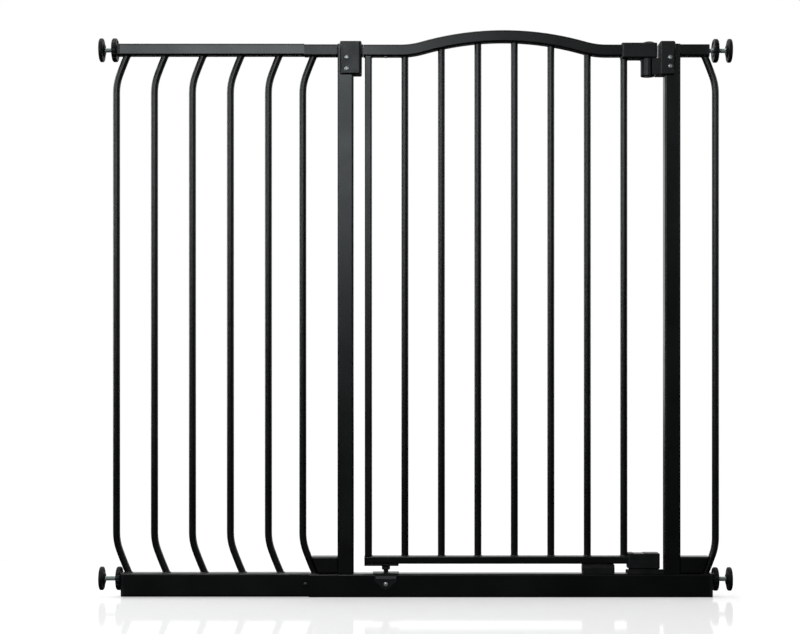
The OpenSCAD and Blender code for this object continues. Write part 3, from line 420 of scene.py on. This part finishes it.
def fillets(name, ends, up, body, seed):
    """Weld fillets round bar ends; up says if they climb from a rail or hang from it."""
    rng = random.Random(seed)
    verts, faces = [], []
    steps = len(FILLET)
    for middle, half_w, half_d, slope in ends:
        base = len(verts)
        start = rng.random() * SWELL_START
        for j in range(FILLET_SIDES):
            angle = 2 * math.pi * j / FILLET_SIDES
            swell = (1.0 + SLOW_SWELL[1] * math.sin(SLOW_SWELL[0] * angle + start)
                     + QUICK_SWELL[1] * math.sin(QUICK_SWELL[0] * angle + 2 * start))
            for out, along in FILLET:
                out = out * swell if out > 0 else out
                along = along * swell if along > 0 else along
                dx = (half_w + out * MM) * math.cos(angle)
                dy = (half_d + out * MM) * math.sin(angle)
                verts.append((middle.x + dx, dy, middle.z + slope * dx + up * along * MM))
        for j in range(FILLET_SIDES):
            here, there = base + j * steps, base + (j + 1) % FILLET_SIDES * steps
            for s in range(steps):
                t = (s + 1) % steps
                quad = (here + s, there + s, there + t, here + t)
                faces.append(quad if up > 0 else quad[::-1])
    return make_piece(name, verts, faces, body, "black_steel")


side_tops = bar_ends("left_side_bar", True) + bar_ends("right_side_bar", True)
side_feet = bar_ends("left_side_bar", False) + bar_ends("right_side_bar", False)
fillets("extension_bar_welds_top", bar_ends("extension_bars", True), HANGS, "frame", 11)
fillets("extension_bar_welds_foot", bar_ends("extension_bars", False), CLIMBS, "frame", 12)
fillets("side_bar_welds_top", side_tops, HANGS, "frame", 13)
fillets("side_bar_welds_foot", side_feet, CLIMBS, "frame", 14)
fillets("door_bar_welds_top", arch_ends("door_bars"), HANGS, "door", 15)
fillets("door_bar_welds_foot", bar_ends("door_bars", False), CLIMBS, "door", 16)


BEAD_RADIUS = 1.1 * MM
BEAD_STEP = 0.7 * MM
BEAD_SIDES = 8
FEWEST_STEPS = 4
# The ripple's height, its turn from step to step in radians, and the part left to chance
RIPPLE, RIPPLE_TURN, RIPPLE_CHANCE = 0.10, 1.9, 0.05
# The part of its radius that a bead starts with, and how fast it grows along its length
TAPER_START, TAPER_GROWTH = 0.25, 6.0


def bead(name, lines, body, seed):
    """Straight weld beads with the ripples of the torch; each line is (start, end)."""
    rng = random.Random(seed)
    verts, faces = [], []
    for start, end in lines:
        start, end = Vector(start), Vector(end)
        run = end - start
        steps = max(FEWEST_STEPS, int(run.length / BEAD_STEP))
        along = run.normalized()
        across = along.orthogonal().normalized()
        other = along.cross(across)
        faces += tube_faces(BEAD_SIDES, steps, base=len(verts))
        for i in range(steps + 1):
            t = i / steps
            ripple = 1.0 + RIPPLE * math.sin(i * RIPPLE_TURN) + RIPPLE_CHANCE * rng.uniform(-1, 1)
            taper = min(1.0, TAPER_START + TAPER_GROWTH * min(t, 1 - t))
            r = BEAD_RADIUS * ripple * taper
            point = start + run * t
            for j in range(BEAD_SIDES):
                angle = 2 * math.pi * j / BEAD_SIDES
                verts.append(point + across * (r * math.cos(angle)) + other * (r * math.sin(angle)))
    return make_piece(name, verts, faces, body, "black_steel")


def frame_beads():
    """Beads of the posts on the base rail, of their gussets, and of the stubs on the posts."""
    post_corner, stub_corner, stub_top = 3 * MM, 2 * MM, 4 * MM  # where a bead stops short
    lines = []
    for side, inward in (("left", 1), ("right", -1)):
        low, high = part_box(side + "_post")
        inner, outer = (high.x, low.x) if inward > 0 else (low.x, high.x)
        reach = high.y - post_corner
        lines.append(((inner, -reach, low.z), (inner, reach, low.z)))
        gusset_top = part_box(side + "_foot_gusset")[1].z
        lines.append(((outer, -reach, gusset_top), (outer, reach, gusset_top)))
    for side, inward in (("left", 1), ("right", -1)):
        low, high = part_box(side + "_top_stub")
        at = high.x if inward > 0 else low.x
        edge = high.y - stub_corner
        lines.append(((at, -edge, low.z), (at, edge, low.z)))
        for y in (low.y, high.y):
            lines.append(((at, y, low.z + stub_corner), (at, y, high.z - stub_top)))
    return lines


def door_beads():
    """Beads of the stile under the top rail, and on its inner side at the bottom rail."""
    low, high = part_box("door_stile")
    edge = high.y - 2 * MM  # clear of the rounded corners
    places = ((low.x, high.z), (high.x, high.z), (high.x, low.z))
    return [((x, -edge, z), (x, edge, z)) for x, z in places]


bead("frame_weld_beads", frame_beads(), "frame", 21)
bead("door_weld_beads", door_beads(), "door", 22)


def latch_buffer():
    """A rubber strip bonded under the bottom latch's housing, just behind the catch's front lip."""
    low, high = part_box("bottom_latch_housing")
    lip_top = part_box("base_catch")[1].z
    left, right = low.x + 2 * MM, high.x - 1.5 * MM
    front, back = low.y + 3.2 * MM, low.y + 4.8 * MM
    top, foot = low.z + 0.2 * MM, lip_top - 0.8 * MM
    chamfer = 0.3 * MM
    section = ((front, top), (front, foot + chamfer), (front + chamfer, foot),
               (back - chamfer, foot), (back, foot + chamfer), (back, top))
    verts = [(x, y, z) for x in (left, right) for y, z in section]
    faces = tube_faces(len(section), 1)
    make_piece("bottom_latch_buffer", verts, faces, "door", "pad_rubber", smooth=False)


latch_buffer()


# ---- Studio ----


WHITE = grey(1.0)


def backdrop_world():
    """White behind the gate for the camera and for mirror images, and a dim room otherwise."""
    room_light, room_gloss = 0.55, 0.006
    room_end, backdrop_start = 0.15, 0.6  # how far a direction points backwards
    world = bpy.data.worlds.new("Studio")
    bpy.context.scene.world = world
    world.use_nodes = True
    tree = world.node_tree
    tree.nodes.clear()
    path = put(tree, "ShaderNodeLightPath")
    seen = combine(tree, "MAXIMUM",
                   path.outputs["Is Camera Ray"], path.outputs["Is Transmission Ray"])
    where = put(tree, "ShaderNodeTexCoord").outputs["Generated"]
    depth = put(tree, "ShaderNodeSeparateXYZ", {"Vector": where}).outputs["Y"]
    mirrored = between(tree, depth, room_end, backdrop_start, room_gloss, 1.0)
    unseen = put(tree, "ShaderNodeMix", {
        "Factor": path.outputs["Is Glossy Ray"], "A": room_light, "B": mirrored},
        data_type="FLOAT").outputs["Result"]
    strength = put(tree, "ShaderNodeMix", {
        "Factor": seen, "A": unseen, "B": 1.0}, data_type="FLOAT").outputs["Result"]
    back = put(tree, "ShaderNodeBackground", {"Color": WHITE, "Strength": strength})
    out = put(tree, "ShaderNodeOutputWorld")
    tree.links.new(back.outputs[0], out.inputs["Surface"])


def studio_floor():
    """A pale polished floor that shows the gate's shadow and a faint mirror image of its foot."""
    reach, drop = 14.0, 0.2 * MM
    corners = [(-reach, -reach, 0), (reach, -reach, 0), (reach, reach, 0), (-reach, reach, 0)]
    mesh = bpy.data.meshes.new("floor")
    mesh.from_pydata(corners, [], [(0, 1, 2, 3)])
    floor = bpy.data.objects.new("floor", mesh)
    floor.location.z = -drop
    bpy.context.scene.collection.objects.link(floor)
    material = bpy.data.materials.new("Pale floor")
    material.use_nodes = True
    tree = material.node_tree
    tree.nodes.clear()

    def blend_shaders(mask, first, second):
        return put(tree, "ShaderNodeMixShader", {0: mask, 1: first, 2: second}).outputs[0]

    def matt(level):
        return put(tree, "ShaderNodeBsdfDiffuse", {"Color": grey(level)}).outputs[0]

    def glow(strength):
        made = put(tree, "ShaderNodeEmission", {"Color": WHITE, "Strength": strength})
        return made.outputs[0]

    # Polished only at a low angle, where it mirrors the foot of the gate
    gloss = put(tree, "ShaderNodeBsdfGlossy", {"Color": WHITE, "Roughness": 0.07}).outputs[0]
    grazing = put(tree, "ShaderNodeLayerWeight", {"Blend": 0.5}).outputs["Facing"]
    polish = between(tree, grazing, low=0.70, high=0.84, out_high=0.23)
    sheen = blend_shaders(polish, matt(0.55), gloss)
    near_gate = put(tree, "ShaderNodeAddShader", {0: sheen, 1: glow(0.38)}).outputs[0]

    # Away from the gate it fades into the white backdrop
    squashed = put(tree, "ShaderNodeMapping", {
        "Vector": on_object(tree), "Scale": (1.0, 0.9, 0.0)}).outputs["Vector"]
    away = put(tree, "ShaderNodeVectorMath", {0: squashed}, operation="LENGTH").outputs["Value"]
    fade = between(tree, away, low=0.55, high=0.95)
    pale = blend_shaders(fade, near_gate, glow(1.0))

    # It is dark to everything but the camera, so that it lights nothing from below
    path = put(tree, "ShaderNodeLightPath")
    seen = blend_shaders(path.outputs["Is Camera Ray"], matt(0.02), pale)
    out = put(tree, "ShaderNodeOutputMaterial")
    tree.links.new(seen, out.inputs["Surface"])
    mesh.materials.append(material)


DAYLIGHT = (0.90, 0.97, 1.0)
NEUTRAL = (1.0, 1.0, 1.0)
# Each softbox: name, place, the point it faces, width, height, watts and tint
SOFTBOXES = (
    ("key", (-0.56, -2.7, 1.42), (-0.40, 0.0, 0.95), 1.15, 1.10, 17, DAYLIGHT),
    ("left_front", (-2.1, -1.7, 1.25), (0.0, 0.0, 0.8), 0.6, 1.2, 13, DAYLIGHT),
    ("left_edge", (-2.4, 0.5, 1.1), (0.0, 0.0, 0.5), 0.7, 1.8, 24, NEUTRAL),
    ("right_edge", (2.4, 0.4, 1.1), (0.0, 0.0, 0.5), 0.7, 1.8, 12, NEUTRAL),
    ("fill", (1.7, -2.6, 1.35), (0.30, 0.0, 0.8), 0.8, 0.8, 3.5, DAYLIGHT),
    ("overhead", (-0.3, 0.2, 2.8), (0.0, 0.0, 0.5), 2.2, 1.2, 30, NEUTRAL),
)


def softbox(name, at, aim, width, height, watts, tint):
    """A rectangular softbox, hung at one point and turned towards another."""
    lamp = bpy.data.lights.new(name, "AREA")
    lamp.shape = "RECTANGLE"
    lamp.color = tint
    lamp.size, lamp.size_y, lamp.energy = width, height, watts
    held = bpy.data.objects.new(name, lamp)
    held.location = at
    held.rotation_euler = (Vector(aim) - Vector(at)).to_track_quat("-Z", "Y").to_euler()
    bpy.context.scene.collection.objects.link(held)


backdrop_world()
studio_floor()
for row in SOFTBOXES:
    softbox(*row)


# ---- Camera ----


camera = bpy.data.objects.new("camera", bpy.data.cameras.new("camera"))
camera.data.sensor_width = 36.0
camera.data.lens = 74.0
camera.data.shift_x = -0.0195
camera.data.shift_y = 0.0704
camera.location = (0.0, -2.8, 0.38)
camera.rotation_euler = (math.pi / 2, 0.0, 0.0)
bpy.context.scene.collection.objects.link(camera)
bpy.context.scene.camera = camera
bpy.context.scene.view_settings.view_transform = "Standard"
